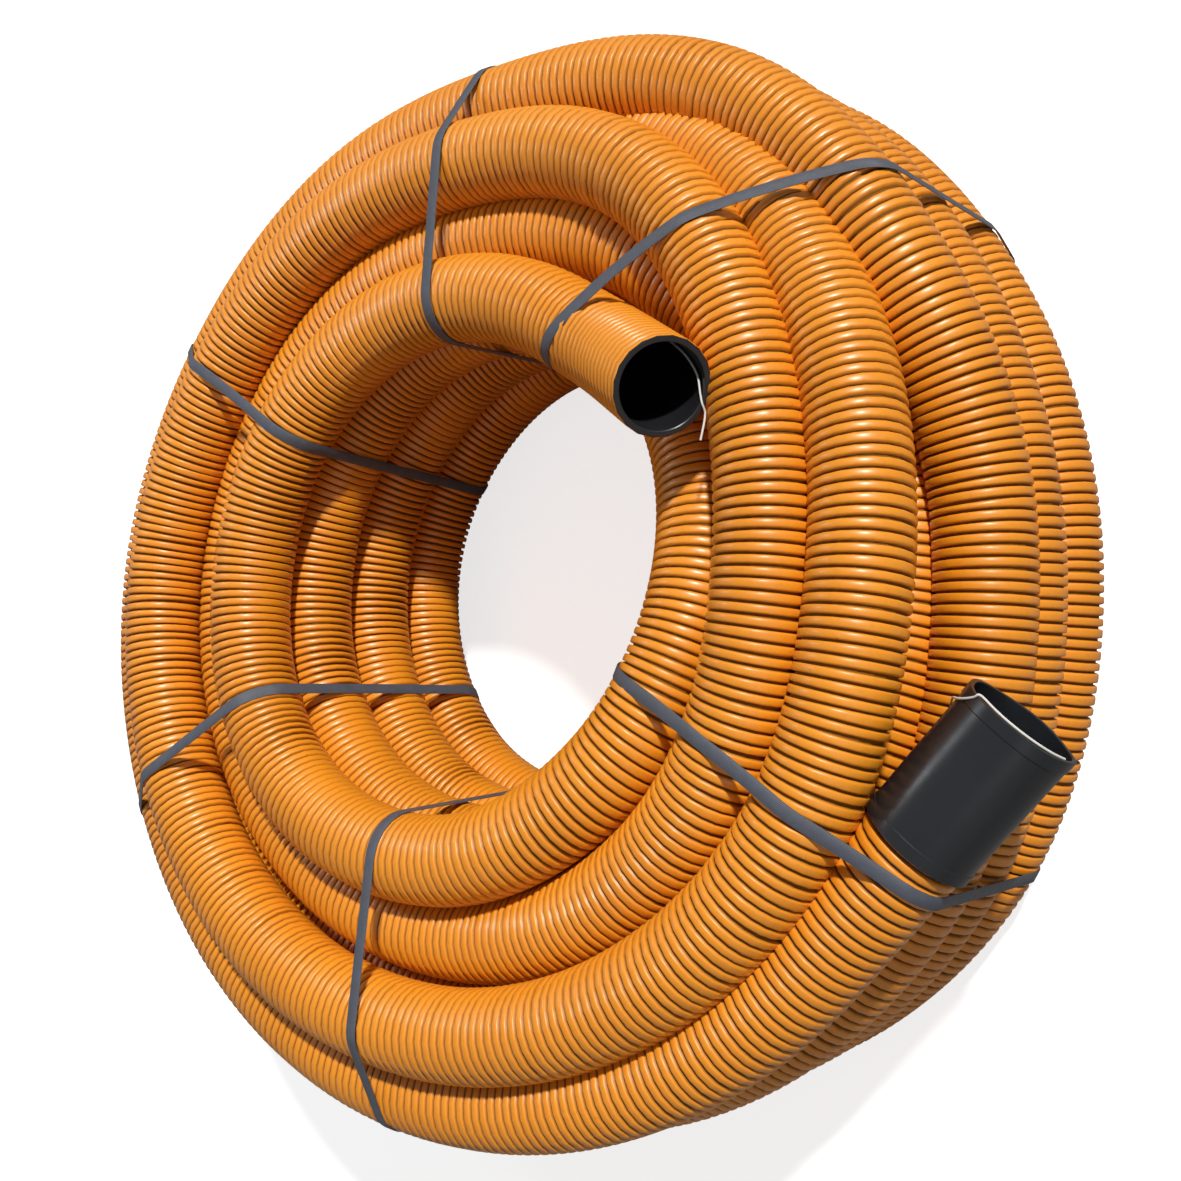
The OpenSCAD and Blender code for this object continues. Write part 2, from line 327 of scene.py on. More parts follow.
class Winding:
    """The duct's middle line, from the mouth of its inner end to its end in the coupler."""

    def __init__(self, coil):
        duct, winding = coil.duct, coil.winding
        self.diameter = duct.outside
        self.step = duct.outside - winding.squeeze
        self.first = winding.first_radius
        self.wobble = winding.wobble
        self.keys = self.lane_keys()

        leave, bend, radius = winding.inner_leave, winding.inner_bend, winding.inner_bend_radius
        first, ahead = self.spot(0)
        self.points = []

        def inner(back, out):
            self.points.append(first * outward(leave) - back * onward(leave) + (ahead + out) * FORWARD)

        for i in range(11):
            way = winding.inner_straight * (1 - i / 10)
            inner(
                radius * math.sin(bend) + way * math.cos(bend),
                radius * (1 - math.cos(bend)) + way * math.sin(bend),
            )
        for i in range(1, 15):
            angle = bend * (1 - i / 14)
            inner(radius * math.sin(angle), radius * (1 - math.cos(angle)))
        self.mouth = Matrix((outward(leave), onward(leave) * math.sin(bend) + FORWARD * math.cos(bend),
                             FORWARD * math.sin(bend) - onward(leave) * math.cos(bend))).transposed()

        rise_from = winding.outer_leave - winding.rise_angle
        angle = math.degrees(leave) + TURN_STEP
        last = 360 * (TURNS - 1) + math.degrees(rise_from)
        while angle < last:
            self.points.append(self.on_turn(angle))
            angle += TURN_STEP
        shift = winding.outer_rise / (1 - math.cos(winding.rise_angle))
        rise_radius = self.spot(TURNS - 1)[0] + shift
        middle = -shift * outward(rise_from) + self.spot(TURNS - 1)[1] * FORWARD
        for i in range(31):
            self.points.append(middle + rise_radius * outward(rise_from + winding.rise_angle * i / 30))
        self.tail = (
            (self.spot(TURNS - 1)[0] + winding.outer_rise) * outward(winding.outer_leave)
            + self.spot(TURNS - 1)[1] * FORWARD
        )
        self.tail_way = onward(winding.outer_leave)
        self.sleeve = Matrix((outward(winding.outer_leave), -FORWARD, self.tail_way)).transposed()
        start = (self.points[-1] - self.tail).dot(self.tail_way)
        for i in range(1, 11):
            way = start + (winding.outer_straight - start) * i / 10
            self.points.append(self.tail + self.tail_way * way)

        self.lengths = [0.0]
        self.angles = [math.atan2(self.points[0].y, self.points[0].x)]
        for a, b in zip(self.points, self.points[1:]):
            self.lengths.append(self.lengths[-1] + (b - a).length)
            turn = math.atan2(b.y, b.x) - math.atan2(a.y, a.x)
            self.angles.append(self.angles[-1] + (turn + math.pi) % (2 * math.pi) - math.pi)

    def spot(self, turn):
        """Radius and place forward of one turn."""
        layer, lane = divmod(turn, LANES)
        if layer % 2:
            lane = LANES - 1 - lane
        ahead = (LANES - 1) / 2 - lane - (0.5 if layer % 2 else 0)
        return self.first + layer * self.step * math.sqrt(3) / 2, ahead * self.step

    def lane_keys(self):
        keys = []
        for turn in range(TURNS):
            if turn in HAND_LAID:
                keys += [
                    (360 * turn + a, r * self.diameter, z * self.diameter) for a, r, z in HAND_LAID[turn]
                ]
            elif turn + 1 < TURNS:
                here, there = self.spot(turn), self.spot(turn + 1)
                middle = ((here[0] + there[0]) / 2, (here[1] + there[1]) / 2)
                keys += [
                    (360 * turn + CHANGE_FROM, *here),
                    (360 * turn + CHANGE_MIDDLE, *middle),
                    (360 * turn + CHANGE_TO, *there),
                ]
        keys.append((360 * TURNS - 100, *self.spot(TURNS - 1)))
        return keys

    def on_turn(self, degrees):
        radius, ahead = between(self.keys, degrees)
        angle = math.radians(degrees)
        front = self.spot(0)[1]
        loose = min(1, (degrees - LOOSE_FROM) / LOOSE_OVER, (LOOSE_TO - degrees) / LOOSE_OVER)
        loose *= loose * (3 - 2 * loose)
        layer = (radius - self.first) / (self.step * math.sqrt(3) / 2)
        stray = layer * around(RIDE_UP, degrees) + around(OUT_OF_ROUND, degrees)
        wobble = math.sin(2.31 * angle) + 0.6 * math.sin(5.17 * angle + 1)
        stray = stray * self.diameter + self.wobble * wobble
        ahead += loose * self.wobble * 0.35 * (1 + math.sin(3.13 * angle + 2))
        return (radius + loose * stray) * outward(angle) + ahead * FORWARD + loose * (front - ahead) * LEAN

    def at_length(self, length):
        i = next((k for k, far in enumerate(self.lengths) if far > length), len(self.lengths) - 1)
        share = (length - self.lengths[i - 1]) / (self.lengths[i] - self.lengths[i - 1])
        return self.points[i - 1].lerp(self.points[i], share)

    def length_at(self, degrees):
        angle = math.radians(degrees)
        i = next(k for k, a in enumerate(self.angles) if a >= angle and self.lengths[k] > 0.3)
        return self.lengths[i]

    def stretch(self, start, end):
        """Places along the middle line between two lengths."""
        inside = [p for p, far in zip(self.points, self.lengths) if start + 1e-5 < far < end - 1e-5]
        return [self.at_length(start), *inside, self.at_length(end)]

    def crossings(self, inner, outer):
        """Where the duct crosses a strap's plane, which slants from one angle to another: (radius, ahead)."""
        low, high = self.first - self.diameter / 2, self.spot(TURNS - 1)[0] + self.diameter / 2
        found = []
        lean = [
            angle - math.radians(inner + (outer - inner) * (math.hypot(p.x, p.y) - low) / (high - low))
            for p, angle in zip(self.points, self.angles)
        ]
        for i in range(len(lean) - 1):
            before, after = lean[i] / (2 * math.pi), lean[i + 1] / (2 * math.pi)
            if math.floor(before) != math.floor(after):
                share = (math.floor(after) - before) / (after - before)
                p = self.points[i].lerp(self.points[i + 1], share)
                found.append((math.hypot(p.x, p.y), p.z))
        return found, low, high


# ---- nodes


def join(tree, value, socket):
    if isinstance(value, Value):
        tree.links.new(value.socket, socket)
    else:
        socket.default_value = value


def maths(tree, operation, *values):
    node = tree.nodes.new("ShaderNodeMath")
    node.operation = operation
    for value, socket in zip(values, node.inputs):
        join(tree, value, socket)
    return Value(tree, node.outputs[0])


class Value:
    """A node's output. Arithmetic on it adds Math nodes."""

    def __init__(self, tree, socket):
        self.tree = tree
        self.socket = socket

    def __add__(self, other):
        return maths(self.tree, "ADD", self, other)

    def __sub__(self, other):
        return maths(self.tree, "SUBTRACT", self, other)

    def __rsub__(self, other):
        return maths(self.tree, "SUBTRACT", other, self)

    def __mul__(self, other):
        return maths(self.tree, "MULTIPLY", self, other)

    def __truediv__(self, other):
        return maths(self.tree, "DIVIDE", self, other)

    def __mod__(self, other):
        return maths(self.tree, "FLOORED_MODULO", self, other)

    __radd__ = __add__
    __rmul__ = __mul__

    def clamped(self, low=0.0, high=1.0):
        return maths(self.tree, "MINIMUM", maths(self.tree, "MAXIMUM", self, low), high)


class Nodes:
    """Adds nodes to a tree: first their settings, then the values or links of their sockets."""

    def __init__(self, tree):
        self.tree = tree

    def add(self, kind, settings=None, sockets=None, output=0):
        node = self.tree.nodes.new(kind)
        for name, value in (settings or {}).items():
            setattr(node, name, value)
        for name, value in (sockets or {}).items():
            join(self.tree, value, node.inputs[name])
        return Value(self.tree, node.outputs[output])

    def choose(self, index, values):
        """The value that a whole number picks from a list."""
        node = self.tree.nodes.new("GeometryNodeIndexSwitch")
        node.data_type = "FLOAT"
        while len(node.index_switch_items) < len(values):
            node.index_switch_items.new()
        join(self.tree, index, node.inputs["Index"])
        for i, value in enumerate(values):
            join(self.tree, value, node.inputs[i + 1])
        return Value(self.tree, node.outputs[0])

    def mix(self, share, a, b, blend="MIX"):
        settings = {"data_type": "RGBA", "blend_type": blend}
        return self.add("ShaderNodeMix", settings, {0: share, 6: a, 7: b}, 2)

    def place(self):
        return self.add("ShaderNodeTexCoord", output="Object")

    def noise(self, scale, detail=3.0, rough=0.5, at=None):
        sockets = {"Vector": at or self.place(), "Scale": scale, "Detail": detail, "Roughness": rough}
        return self.add("ShaderNodeTexNoise", None, sockets)

    def spread(self, value, low, high):
        """0 below low, 1 above high, and smooth between them."""
        sockets = {"Value": value, "From Min": low, "From Max": high}
        return self.add("ShaderNodeMapRange", {"interpolation_type": "SMOOTHSTEP"}, sockets)

    def near(self, middle, radius):
        """1 at a place, falling to 0 at a distance from it."""
        sockets = {0: self.place(), 1: middle}
        far = self.add("ShaderNodeVectorMath", {"operation": "DISTANCE"}, sockets, "Value")
        return 1 - self.spread(far, radius * 0.3, radius)


def finish_of(name, build):
    """A material whose Principled BSDF gets the sockets that build returns."""
    material = bpy.data.materials.new(name)
    material.use_nodes = True
    tree = material.node_tree
    shader = tree.nodes["Principled BSDF"]
    for socket, value in build(Nodes(tree)).items():
        join(tree, value, shader.inputs[socket])
    return material


def duct_plastic(duct):
    def build(n):
        groove = n.add("ShaderNodeAttribute", {"attribute_name": "groove"}, output="Fac")
        broad = n.noise(5.0, 2.0)
        fine = n.noise(160.0, 4.0, 0.6)
        faded = tuple(c * k for c, k in zip(duct.colour, (0.93, 0.9, 0.8, 1)))
        orange = n.mix(n.spread(broad, 0.35, 0.7), tuple(duct.colour), faded)
        orange = n.mix(n.spread(fine, 0.45, 0.75) * 0.18, orange, (0.58, 0.16, 0.004, 1))
        # Painted shade, partly dirt: the grooves, and a little the crest edges, darken towards the groove colour
        orange = n.mix(n.spread(groove, 0.2, 1.0) * 0.92, orange, tuple(duct.groove_shade_and_dirt_colour))
        scuffs = n.spread(n.noise(220.0, 5.0, 0.7), 0.56, 0.66)
        scuffs = scuffs * n.near((0.05, -0.66, 0.15), 0.16) * (1 - groove)
        orange = n.mix(scuffs * 0.5, orange, (0.75, 0.62, 0.5, 1))
        cells = n.add("ShaderNodeTexVoronoi", None, {"Vector": n.place(), "Scale": 42.0}, "Distance")
        patches = n.spread(n.noise(4.0, 1.0), 0.55, 0.62)
        drops = (1 - n.spread(cells, 0.04, 0.12)) * patches
        rough = 0.44 + fine * 0.1 + groove * 0.3 - drops * 0.3
        relief = fine * 0.15 + drops
        return {
            "Base Color": orange,
            "Roughness": rough,
            "Specular IOR Level": 0.35,
            "Coat Weight": (1 - groove) * (0.9 - n.spread(fine, 0.5, 0.8) * 0.35),
            "Coat Roughness": 0.33,
            "Normal": n.add("ShaderNodeBump", None, {"Strength": 0.5, "Distance": 0.0006, "Height": relief}),
        }

    return finish_of("duct_plastic", build)


def liner_plastic(duct):
    def build(n):
        haze = n.noise(30.0, 3.0)
        dull = tuple(c * 1.6 for c in duct.liner_colour[:3]) + (1,)
        return {
            "Base Color": n.mix(haze, tuple(duct.liner_colour), dull),
            "Roughness": 0.22 + haze * 0.2,
            "Normal": n.add("ShaderNodeBump", None, {"Strength": 0.25, "Distance": 0.0005, "Height": haze}),
        }

    return finish_of("liner_plastic", build)


def coupler_plastic(coupler):
    def build(n):
        broad = n.noise(9.0, 2.0)
        fine = n.noise(140.0, 4.0, 0.6)
        streaks = n.noise(60.0, 3.0, 0.5)
        relief = fine * 0.3 + broad
        return {
            "Base Color": n.mix(broad, tuple(coupler.colour), (0.016, 0.018, 0.022, 1)),
            "Roughness": 0.2 + streaks * 0.16 + fine * 0.05,
            "Normal": n.add("ShaderNodeBump", None, {"Strength": 0.3, "Distance": 0.0004, "Height": relief}),
        }

    return finish_of("coupler_plastic", build)


def strap_plastic(strap):
    def build(n):
        uv = n.add("ShaderNodeTexCoord", output="UV")
        across = n.add("ShaderNodeSeparateXYZ", None, {"Vector": uv}, "X")
        along = n.add("ShaderNodeSeparateXYZ", None, {"Vector": uv}, "Y")
        pitch = strap.emboss
        waves = [maths(n.tree, "SINE", (along + across * way) * (2 * math.pi / pitch)) for way in (0.6, -0.6)]
        emboss = waves[0] * waves[1]
        wear = n.noise(90.0, 3.0)
        worn = tuple(c * 1.5 for c in strap.colour[:3]) + (1,)
        return {
            "Base Color": n.mix(wear, tuple(strap.colour), worn),
            "Roughness": 0.34 + wear * 0.2,
            "Normal": n.add("ShaderNodeBump", None, {"Strength": 0.6, "Distance": 0.0003, "Height": emboss}),
        }

    return finish_of("strap_band", build)


def cord_fibre(cord):
    def build(n):
        fibres = n.noise(900.0, 2.0)
        return {
            "Base Color": n.mix(fibres, tuple(cord.colour), (0.62, 0.62, 0.58, 1)),
            "Roughness": 0.7,
            "Normal": n.add("ShaderNodeBump", None, {"Strength": 0.7, "Distance": 0.0003, "Height": fibres}),
        }

    return finish_of("cord_fibre", build)


def floor_paint(stage):
    """Pale paint that the camera sees as white where the light falls on it; to all other rays it is a darker grey."""
    material = bpy.data.materials.new("floor_paint")
    material.use_nodes = True
    tree = material.node_tree
    n = Nodes(tree)
    shader = tree.nodes["Principled BSDF"]
    seen = n.add("ShaderNodeLightPath", output="Is Camera Ray")
    join(tree, n.mix(seen, (0.27, 0.27, 0.27, 1), tuple(stage.floor)), shader.inputs["Base Color"])
    shader.inputs["Roughness"].default_value = 0.9
    shader.inputs["Specular IOR Level"].default_value = 0.0
    glow = n.add("ShaderNodeEmission", None, {"Color": (1, 1, 1, 1), "Strength": seen * 0.75})
    both = n.add("ShaderNodeAddShader", None, {0: Value(tree, shader.outputs[0]), 1: glow})
    tree.links.new(both.socket, tree.nodes["Material Output"].inputs["Surface"])
    return material


# ---- meshes


def dress(name, data, slot, *nodes):
    """Links a finished piece that rides with the coil and stands for its CAD nodes."""
    piece = bpy.data.objects.new(name, data)
    bpy.context.scene.collection.objects.link(piece)
    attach(piece, BODY)
    if nodes:
        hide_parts(*nodes)
    return piece


def shell(name, rings, material, around=True, smooth=True, uv=None):
    """A closed skin of four-sided faces between rings of places, facing outwards."""
    count = len(rings[0])
    vertices = [p for ring in rings for p in ring]
    faces = []
    for i in range(len(rings) if around else len(rings) - 1):
        a, b = i * count, (i + 1) % len(rings) * count
        faces += [(a + k, a + (k + 1) % count, b + (k + 1) % count, b + k) for k in range(count)]
    if not around:
        faces += [tuple(range(count))[::-1], tuple(range(len(vertices) - count, len(vertices)))]
    mesh = bpy.data.meshes.new(name)
    mesh.from_pydata([tuple(v) for v in vertices], [], faces)
    work = bmesh.new()
    work.from_mesh(mesh)
    if work.calc_volume(signed=True) < 0:
        bmesh.ops.reverse_faces(work, faces=work.faces)
    if uv:
        layer = work.loops.layers.uv.new("along")
        for face in work.faces:
            for loop in face.loops:
                loop[layer].uv = uv[loop.vert.index]
    work.to_mesh(mesh)
    work.free()
    mesh.shade_smooth() if smooth else mesh.shade_flat()
    mesh.materials.append(material)
    return mesh


def sharpen(mesh, degrees=35):
    """Keeps the edges of a smooth mesh crisp where it turns sharply."""
    work = bmesh.new()
    work.from_mesh(mesh)
    for edge in work.edges:
        edge.smooth = not (edge.is_manifold and edge.calc_face_angle(0) > math.radians(degrees))
    work.to_mesh(mesh)
    work.free()
    return mesh


def ribbed_tree():
    """Geometry nodes that turn a middle line into ribbed duct."""
    tree = bpy.data.node_groups.new("Ribbed duct", "GeometryNodeTree")
    tree.interface.new_socket("Geometry", in_out="INPUT", socket_type="NodeSocketGeometry")
    for name in ("Rib pitch", "Crest width", "Rounding", "Groove depth", "Radius"):
        tree.interface.new_socket(name, in_out="INPUT", socket_type="NodeSocketFloat")
    tree.interface.new_socket("Sides", in_out="INPUT", socket_type="NodeSocketInt")
    tree.interface.new_socket("Material", in_out="INPUT", socket_type="NodeSocketMaterial")
    tree.interface.new_socket("Geometry", in_out="OUTPUT", socket_type="NodeSocketGeometry")
    n = Nodes(tree)
    given = tree.nodes.new("NodeGroupInput")
    curve, pitch, crest, rounding, depth, radius, sides, material = (
        Value(tree, s) for s in given.outputs[:8]
    )

    length = n.add("GeometryNodeCurveLength", None, {"Curve": curve})
    ribs = maths(tree, "ROUND", length / pitch)
    count = ribs * RINGS_PER_RIB + 1
    curve = n.add("GeometryNodeResampleCurve", {"mode": "COUNT"}, {"Curve": curve, "Count": count})
    ring = n.add("GeometryNodeInputIndex") % RINGS_PER_RIB
    slope = (pitch - crest) * 0.22
    along = n.choose(ring, [0.0, rounding, crest - rounding, crest, crest + slope, pitch - slope])
    shift = along - ring * pitch / RINGS_PER_RIB
    ahead = n.add("GeometryNodeInputTangent")
    move = n.add("ShaderNodeVectorMath", {"operation": "SCALE"}, {0: ahead, "Scale": shift})
    curve = n.add("GeometryNodeSetPosition", None, {"Geometry": curve, "Offset": move})
    low = radius - rounding * 0.45
    height = n.choose(ring, [low, radius, radius, low, radius - depth, radius - depth])
    # The groove share, 1 in the groove and 0.3 at the crest edges, also sets where the duct's colour is darkened as
    # painted shade, partly dirt
    groove = n.choose(ring, [0.3, 0.0, 0.0, 0.3, 1.0, 1.0])
    curve = n.add(
        "GeometryNodeStoreNamedAttribute",
        {"data_type": "FLOAT", "domain": "POINT"},
        {"Geometry": curve, "Name": "groove", "Value": groove},
    )
    sockets = {"Resolution": sides, "Radius": 1.0}
    circle = n.add("GeometryNodeCurvePrimitiveCircle", {"mode": "RADIUS"}, sockets)
    sockets = {"Curve": curve, "Profile Curve": circle, "Scale": height}
    mesh = n.add("GeometryNodeCurveToMesh", None, sockets)
    mesh = n.add("GeometryNodeSetShadeSmooth", None, {"Geometry": mesh})
    mesh = n.add("GeometryNodeRealizeInstances", None, {"Geometry": mesh})
    mesh = n.add("GeometryNodeSetMaterial", None, {"Geometry": mesh, "Material": material})
    result = tree.nodes.new("NodeGroupOutput")
    tree.links.new(mesh.socket, result.inputs[0])
    return tree


def grown(name, points, tree, inputs):
    """The plain mesh that a tree grows on a line of places."""
    line = bpy.data.curves.new(name + "_line", "CURVE")
    line.dimensions = "3D"
    spline = line.splines.new("POLY")
    spline.points.add(len(points) - 1)
    for point, place in zip(spline.points, points):
        point.co = (*place, 1)
    base = bpy.data.objects.new(name + "_line", line)
    bpy.context.scene.collection.objects.link(base)
    modifier = base.modifiers.new("Grow", "NODES")
    modifier.node_group = tree
    for item in tree.interface.items_tree:
        if item.in_out == "INPUT" and item.name in inputs:
            modifier[item.identifier] = inputs[item.name]
    mesh = bpy.data.meshes.new_from_object(base.evaluated_get(bpy.context.evaluated_depsgraph_get()))
    base.modifiers.remove(modifier)
    bpy.data.objects.remove(base)
    if not len(mesh.polygons):
        raise RuntimeError(f"{name} grew no faces")
    mesh.name = name
    return mesh


def cord_points(points, matrix, middle, steps):
    """A smooth run through given points, in the row frame."""
    way = [middle + matrix @ (Vector(p) / 1000) for p in points]
    run = []
    for i in range(len(way) - 1):
        a, b, c, d = way[max(i - 1, 0)], way[i], way[i + 1], way[min(i + 2, len(way) - 1)]
        run += [spline(a, b, c, d, s / steps) for s in range(steps)]
    run.append(way[-1])
    return [lying(p) for p in run]


class COIL_OT_camera(bpy.types.Operator):
    """Puts the camera where the photograph was taken from"""

    bl_idname = "duct_coil.camera"
    bl_label = "Camera"

    def execute(self, context):
        lens = bpy.data.cameras.new("camera")
        lens.sensor_width = 36
        lens.lens = 40.607
        lens.clip_start = 0.02
        camera = bpy.data.objects.new("camera", lens)
        context.scene.collection.objects.link(camera)
        right = Vector((0.7968, 0.0821, -0.5986)).normalized()
        back = Vector((0.604, -0.0811, 0.7929)).normalized()
        up = back.cross(right).normalized()
        turn = Matrix((right, up, back)).transposed().to_4x4()
        camera.matrix_world = Matrix.Translation((1.1146, -0.1384, 1.635)) @ turn
        context.scene.camera = camera
        return {"FINISHED"}


class COIL_OT_draw_cords(bpy.types.Operator):
    """Lays the two ends of the white draw cord in their mouths"""

    bl_idname = "duct_coil.draw_cords"
    bl_label = "Draw cords"

    def execute(self, context):
        coil = context.scene.duct_coil
        winding = Winding(coil)
        fibre = cord_fibre(coil.cord)
        coupler = coil.coupler
        sleeve_end = coil.winding.outer_straight + coupler.stop_gap + coupler.stop / 2 + coupler.length / 2
        for name, points, matrix, middle, steps in (
            ("draw_cord_inner", INNER_CORD, winding.mouth, winding.points[0], 3),
            ("draw_cord_outer", OUTER_CORD, winding.sleeve, winding.tail + winding.tail_way * sleeve_end, 3),
        ):
            places = cord_points(points, matrix, middle, steps)
            data = bpy.data.curves.new(name + "_fibre", "CURVE")
            data.dimensions = "3D"
            data.bevel_depth = coil.cord.diameter / 2
            data.bevel_resolution = 2
            data.use_fill_caps = True
            spline = data.splines.new("POLY")
            spline.points.add(len(places) - 1)
            for point, place in zip(spline.points, places):
                point.co = (*place, 1)
            data.materials.append(fibre)
            piece = dress(name + "_fibre", data, "cord_fibre", name)
        return {"FINISHED"}


class COIL_OT_turns(bpy.types.Operator):
    """Winds the ribbed turns of duct, and plain ones where nobody sees them"""

    bl_idname = "duct_coil.turns"
    bl_label = "Turns"

    def execute(self, context):
        coil = context.scene.duct_coil
        duct = coil.duct
        winding = Winding(coil)
        plastic = duct_plastic(duct)
        tree = ribbed_tree()
        ribbed = {
            "Rib pitch": duct.pitch, "Crest width": duct.crest, "Rounding": duct.rounding,
            "Groove depth": duct.depth, "Radius": duct.outside / 2, "Sides": duct.sides, "Material": plastic,
        }
        plain = dict(ribbed, **{
            "Rib pitch": duct.pitch * 4, "Crest width": duct.pitch * 3,
            "Groove depth": 0.0, "Radius": duct.outside / 2 - duct.depth, "Sides": 10,
        })
        total = winding.lengths[-1]
        ends = [0.0] + [winding.length_at(angle) for angle in PIECE_CUTS]
        ends = [round(far / duct.pitch) * duct.pitch for far in ends]
        ends.append(math.floor(total / duct.pitch) * duct.pitch)
        for name, start, end in zip(PIECES, ends, ends[1:]):
            points = [lying(p) for p in winding.stretch(start, end)]
            mesh = grown(name, points, tree, plain if "hidden" in name else ribbed)
            dress(name, mesh, "duct_plastic", "duct")
        return {"FINISHED"}


class COIL_OT_liners(bpy.types.Operator):
    """Puts the smooth black liner in both ends of the duct"""

    bl_idname = "duct_coil.liners"
    bl_label = "Liners"

    def execute(self, context):
        coil = context.scene.duct_coil
        duct = coil.duct
        winding = Winding(coil)
        plastic = liner_plastic(duct)
        outer = duct.outside / 2 - 0.0006
        bore = duct.outside / 2 - duct.wall
        profile = [(LINER_DEPTH - i * 0.02, bore + 0.003) for i in range(int(LINER_DEPTH / 0.02))]
        profile += [
            (0.006, outer - 0.0035), (0.0003, outer - 0.0006), (-0.0006, outer - 0.0012),
            (-0.0006, bore + 0.001), (0.0002, bore + 0.0001), (0.001, bore),
        ]
        for i in range(1, int(LINER_DEPTH / duct.pitch)):
            profile += [(i * duct.pitch - 0.004, bore), (i * duct.pitch, bore + 0.0005)]
        profile.append((LINER_DEPTH, bore))
        total = winding.lengths[-1]
        for name, start, way in (("liner_inner_end", 0, 1), ("liner_outer_end", total, -1)):
            first = winding.at_length(start + way * 0.001)
            second = winding.at_length(start + way * 0.002)
            ahead = (second - first).normalized()
            across = outward(winding.angles[0] if way > 0 else winding.angles[-1])
            across = (across - ahead * across.dot(ahead)).normalized()
            frames = {}
            for far in sorted({max(s, 0) for s, _ in profile}):
                here = winding.at_length(start + way * max(far, 1e-6))
                there = winding.at_length(start + way * (far + 0.001))
                ahead = (there - here).normalized()
                across = (across - ahead * across.dot(ahead)).normalized()
                frames[far] = (here, ahead, across, ahead.cross(across))
            rings = []
            for far, radius in profile:
                here, ahead, across, beside = frames[max(far, 0)]
                here = here + ahead * min(far, 0)
                turns = (k * 2 * math.pi / LINER_SIDES for k in range(LINER_SIDES))
                rings.append([
                    lying(here + radius * (math.cos(a) * across + math.sin(a) * beside)) for a in turns
                ])
            dress(name, sharpen(shell(name, rings, plastic)), "duct_plastic", "duct")
        return {"FINISHED"}


class COIL_OT_coupler(bpy.types.Operator):
    """Pushes the black sleeve coupler over the outer end"""

    bl_idname = "duct_coil.coupler"
    bl_label = "Coupler"

    def execute(self, context):
        coil = context.scene.duct_coil
        coupler, duct = coil.coupler, coil.duct
        winding = Winding(coil)
        bore = duct.outside / 2 + coupler.clearance
        skin = bore + coupler.wall
        rim = skin + coupler.rim_step
        long = coupler.length
        stop = duct.outside / 2 - duct.wall
        start = coil.winding.outer_straight + coupler.stop_gap + coupler.stop / 2 - long / 2
        half, low = long / 2, coupler.stop / 2
        edge, slope = 0.0008, 0.001
        profile = [
            (0, bore + edge), (0, rim - edge), (edge, rim), (coupler.rim - slope, rim), (coupler.rim, skin),
            (half, skin), (long - coupler.rim, skin), (long - coupler.rim + slope, rim), (long - edge, rim),
            (long, rim - edge), (long, bore + edge), (long - edge, bore), (half + 0.03, bore),
            (half + low, bore), (half + low, stop), (half - low, stop), (half - low, bore), (edge, bore),
        ]
        seam = SLEEVE_SEAM
        turns = [k * 2 * math.pi / SLEEVE_SIDES for k in range(SLEEVE_SIDES)]
        turns = sorted(turns + [seam - 0.02, seam - 0.008, seam + 0.008, seam + 0.02])
        rings = []
        for far, radius in profile:
            mouth = max(0.0, (far - half) / half) ** 2
            ring = []
            for a in turns:
                grow = 0.0006 * mouth * math.sin(3 * a + 0.6) + 0.0004 * mouth * math.sin(5 * a)
                ridge = 0.0003 if radius >= skin and abs(a - seam) < 0.01 else 0
                r = radius + grow + ridge
                lift = 0.0006 * mouth * math.sin(4 * a + 1.3)
                local = Vector((r * math.cos(a), r * math.sin(a), start + far + lift))
                ring.append(lying(winding.tail + winding.sleeve @ local))
            rings.append(ring)
        mesh = sharpen(shell("coupler_sleeve", rings, coupler_plastic(coupler)), 30)
        dress("coupler_sleeve", mesh, "coupler_plastic", "coupler")
        return {"FINISHED"}


class COIL_OT_straps(bpy.types.Operator):
    """Pulls the six straps tight round the turns"""

    bl_idname = "duct_coil.straps"
    bl_label = "Straps"

    def execute(self, context):
        coil = context.scene.duct_coil
        strap, duct = coil.strap, coil.duct
        winding = Winding(coil)
        plastic = strap_plastic(strap)
        for number, (inner, outer) in enumerate(STRAPS, 1):
            crossed, low, high = winding.crossings(inner, outer)
            reach = duct.outside / 2 + strap.gap
            turns = [k * 2 * math.pi / STRAP_DOTS for k in range(STRAP_DOTS)]
            dots = [(r + reach * math.cos(a), z + reach * math.sin(a)) for r, z in crossed for a in turns]
            loop = [Vector(dots[i]) for i in convex_hull_2d(dots)]
            path = []
            for a, b in zip(loop, loop[1:] + loop[:1]):
                parts = max(1, int((b - a).length / STRAP_PART))
                path += [a.lerp(b, i / parts) for i in range(parts)]

            def place(spot, lift, side):
                angle = math.radians(inner + (outer - inner) * (spot.x - low) / (high - low))
                spot = spot + lift
                return lying(spot.x * outward(angle) + side * onward(angle) + spot.y * FORWARD)

            rings, uv, along = [], [], 0.0
            middle = sum(path, Vector((0, 0))) / len(path)
            for i, spot in enumerate(path):
                way = (path[(i + 1) % len(path)] - path[i - 1]).normalized()
                lift = Vector((way.y, -way.x))
                if lift.dot(spot - middle) < 0:
                    lift = -lift
                half = strap.width / 2
                section = [(-half, 0), (-half, 0.7), (-half * 0.94, 1), (half * 0.94, 1), (half, 0.7), (half, 0)]
                rings.append([place(spot, lift * strap.thickness * up, side) for side, up in section])
                uv += [(side, along) for side, _ in section]
                along += (path[(i + 1) % len(path)] - spot).length
            name = f"strap_{number}_band"
            mesh = sharpen(shell(name, rings, plastic, uv=uv), 40)
            dress(name, mesh, "strap_band", f"strap_{number}")
        return {"FINISHED"}


